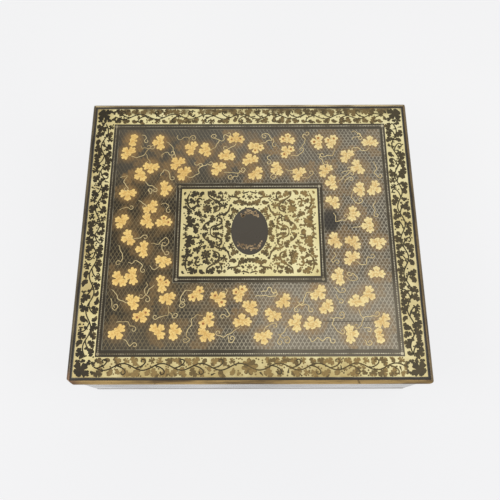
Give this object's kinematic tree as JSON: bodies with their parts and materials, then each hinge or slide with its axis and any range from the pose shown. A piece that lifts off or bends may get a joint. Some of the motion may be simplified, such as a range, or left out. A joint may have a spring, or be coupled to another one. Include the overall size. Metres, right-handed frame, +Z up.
{
  "type": "games compendium box",
  "caption": "Rectangular lacquered games box with a hinged lid, gilt bead moulding, box lock and a fitted inside of lidded counter boxes and stacked card trays.",
  "frame": {"origin": "middle of the underside, on the surface that the box stands on", "axes": "+X to the right along the box's width, -Y towards the front with the lock, +Z up"},
  "size_m": [0.38, 0.333, 0.11],
  "materials": {
    "lacquer": "glossy black lacquer, worn, with gilt ornament on the lid and walls",
    "gilt_moulding": "rubbed gilding over brown lacquer",
    "inner_lacquer": "satin black-brown lacquer",
    "box_lacquer": "glossy black lacquer with gilt ornament",
    "brass": "aged brass",
    "screw_brass": "aged brass, slotted",
    "underside": "matt dark lacquer, rubbed on the face it rests on"
  },
  "bodies": {
    "case": {"case_back_wall": "lacquer", "case_bottom_board": "underside", "case_front_wall": "lacquer", "case_hinge_leaf_left": "brass", "case_hinge_leaf_right": "brass", "case_hinge_screws": "screw_brass", "case_left_wall": "lacquer", "case_right_wall": "lacquer", "cross_divider_1": "inner_lacquer", "cross_divider_2": "inner_lacquer", "hinge_pins": "brass", "lining_back": "inner_lacquer", "lining_front": "inner_lacquer", "lining_left": "inner_lacquer", "lining_right": "inner_lacquer", "lock_back_plate": "brass", "lock_case": "brass", "lock_screws": "screw_brass", "long_divider_1": "inner_lacquer", "long_divider_2": "inner_lacquer"},
    "lid": {"bead_back": "gilt_moulding", "bead_front": "gilt_moulding", "bead_left": "gilt_moulding", "bead_right": "gilt_moulding", "lid_back_rail": "lacquer", "lid_front_rail": "lacquer", "lid_hinge_leaf_left": "brass", "lid_hinge_leaf_right": "brass", "lid_hinge_screws": "screw_brass", "lid_left_rail": "lacquer", "lid_right_rail": "lacquer", "lid_top_panel": "lacquer", "link_plate": "brass", "link_plate_screws": "screw_brass"},
    "lock_bolt": {"lock_bolt": "brass"},
    "counter_box_front_left": {"counter_box_front_left": "box_lacquer"},
    "slip_lid_front_left": {"slip_lid_front_left": "box_lacquer"},
    "counter_box_front_middle": {"counter_box_front_middle": "box_lacquer"},
    "slip_lid_front_middle": {"slip_lid_front_middle": "box_lacquer"},
    "counter_box_front_right": {"counter_box_front_right": "box_lacquer"},
    "slip_lid_front_right": {"slip_lid_front_right": "box_lacquer"},
    "counter_box_centre": {"counter_box_centre": "box_lacquer"},
    "slip_lid_centre": {"slip_lid_centre": "box_lacquer"},
    "counter_box_back_left": {"counter_box_back_left": "box_lacquer"},
    "slip_lid_back_left": {"slip_lid_back_left": "box_lacquer"},
    "counter_box_back_middle": {"counter_box_back_middle": "box_lacquer"},
    "slip_lid_back_middle": {"slip_lid_back_middle": "box_lacquer"},
    "counter_box_back_right": {"counter_box_back_right": "box_lacquer"},
    "slip_lid_back_right": {"slip_lid_back_right": "box_lacquer"},
    "tray_left_1": {"tray_left_1": "box_lacquer"},
    "tray_left_2": {"tray_left_2": "box_lacquer"},
    "tray_left_3": {"tray_left_3": "box_lacquer"},
    "tray_left_4": {"tray_left_4": "box_lacquer"},
    "tray_left_5": {"tray_left_5": "box_lacquer"},
    "tray_right_1": {"tray_right_1": "box_lacquer"},
    "tray_right_2": {"tray_right_2": "box_lacquer"},
    "tray_right_3": {"tray_right_3": "box_lacquer"},
    "tray_right_4": {"tray_right_4": "box_lacquer"},
    "tray_right_5": {"tray_right_5": "box_lacquer"}
  },
  "joints": [
    {"name": "lid_hinge", "type": "hinge", "parent": "case", "child": "lid", "pos_m": [0, 0.1629, 0.07815], "axis": [-1, 0, 0], "range_deg": [0, 100]},
    {"name": "bolt_slide", "type": "slide", "parent": "case", "child": "lock_bolt", "axis": [1, 0, 0], "range_m": [0, 0.0046]},
    {"name": "lift_box_front_left", "type": "slide", "parent": "case", "child": "counter_box_front_left", "axis": [0, 0, 1], "range_m": [0, 0.024]},
    {"name": "lift_cap_front_left", "type": "slide", "parent": "counter_box_front_left", "child": "slip_lid_front_left", "axis": [0, 0, 1], "range_m": [0, 0.024]},
    {"name": "lift_box_front_middle", "type": "slide", "parent": "case", "child": "counter_box_front_middle", "axis": [0, 0, 1], "range_m": [0, 0.024]},
    {"name": "lift_cap_front_middle", "type": "slide", "parent": "counter_box_front_middle", "child": "slip_lid_front_middle", "axis": [0, 0, 1], "range_m": [0, 0.024]},
    {"name": "lift_box_front_right", "type": "slide", "parent": "case", "child": "counter_box_front_right", "axis": [0, 0, 1], "range_m": [0, 0.024]},
    {"name": "lift_cap_front_right", "type": "slide", "parent": "counter_box_front_right", "child": "slip_lid_front_right", "axis": [0, 0, 1], "range_m": [0, 0.024]},
    {"name": "lift_box_centre", "type": "slide", "parent": "case", "child": "counter_box_centre", "axis": [0, 0, 1], "range_m": [0, 0.024]},
    {"name": "lift_cap_centre", "type": "slide", "parent": "counter_box_centre", "child": "slip_lid_centre", "axis": [0, 0, 1], "range_m": [0, 0.024]},
    {"name": "lift_box_back_left", "type": "slide", "parent": "case", "child": "counter_box_back_left", "axis": [0, 0, 1], "range_m": [0, 0.024]},
    {"name": "lift_cap_back_left", "type": "slide", "parent": "counter_box_back_left", "child": "slip_lid_back_left", "axis": [0, 0, 1], "range_m": [0, 0.024]},
    {"name": "lift_box_back_middle", "type": "slide", "parent": "case", "child": "counter_box_back_middle", "axis": [0, 0, 1], "range_m": [0, 0.024]},
    {"name": "lift_cap_back_middle", "type": "slide", "parent": "counter_box_back_middle", "child": "slip_lid_back_middle", "axis": [0, 0, 1], "range_m": [0, 0.024]},
    {"name": "lift_box_back_right", "type": "slide", "parent": "case", "child": "counter_box_back_right", "axis": [0, 0, 1], "range_m": [0, 0.024]},
    {"name": "lift_cap_back_right", "type": "slide", "parent": "counter_box_back_right", "child": "slip_lid_back_right", "axis": [0, 0, 1], "range_m": [0, 0.024]},
    {"name": "lift_tray_left_1", "type": "slide", "parent": "case", "child": "tray_left_1", "axis": [0, 0, 1], "range_m": [0, 0.024]},
    {"name": "lift_tray_left_2", "type": "slide", "parent": "tray_left_1", "child": "tray_left_2", "axis": [0, 0, 1], "range_m": [0, 0.024]},
    {"name": "lift_tray_left_3", "type": "slide", "parent": "tray_left_2", "child": "tray_left_3", "axis": [0, 0, 1], "range_m": [0, 0.024]},
    {"name": "lift_tray_left_4", "type": "slide", "parent": "tray_left_3", "child": "tray_left_4", "axis": [0, 0, 1], "range_m": [0, 0.024]},
    {"name": "lift_tray_left_5", "type": "slide", "parent": "tray_left_4", "child": "tray_left_5", "axis": [0, 0, 1], "range_m": [0, 0.024]},
    {"name": "lift_tray_right_1", "type": "slide", "parent": "case", "child": "tray_right_1", "axis": [0, 0, 1], "range_m": [0, 0.024]},
    {"name": "lift_tray_right_2", "type": "slide", "parent": "tray_right_1", "child": "tray_right_2", "axis": [0, 0, 1], "range_m": [0, 0.024]},
    {"name": "lift_tray_right_3", "type": "slide", "parent": "tray_right_2", "child": "tray_right_3", "axis": [0, 0, 1], "range_m": [0, 0.024]},
    {"name": "lift_tray_right_4", "type": "slide", "parent": "tray_right_3", "child": "tray_right_4", "axis": [0, 0, 1], "range_m": [0, 0.024]},
    {"name": "lift_tray_right_5", "type": "slide", "parent": "tray_right_4", "child": "tray_right_5", "axis": [0, 0, 1], "range_m": [0, 0.024]}
  ]
}
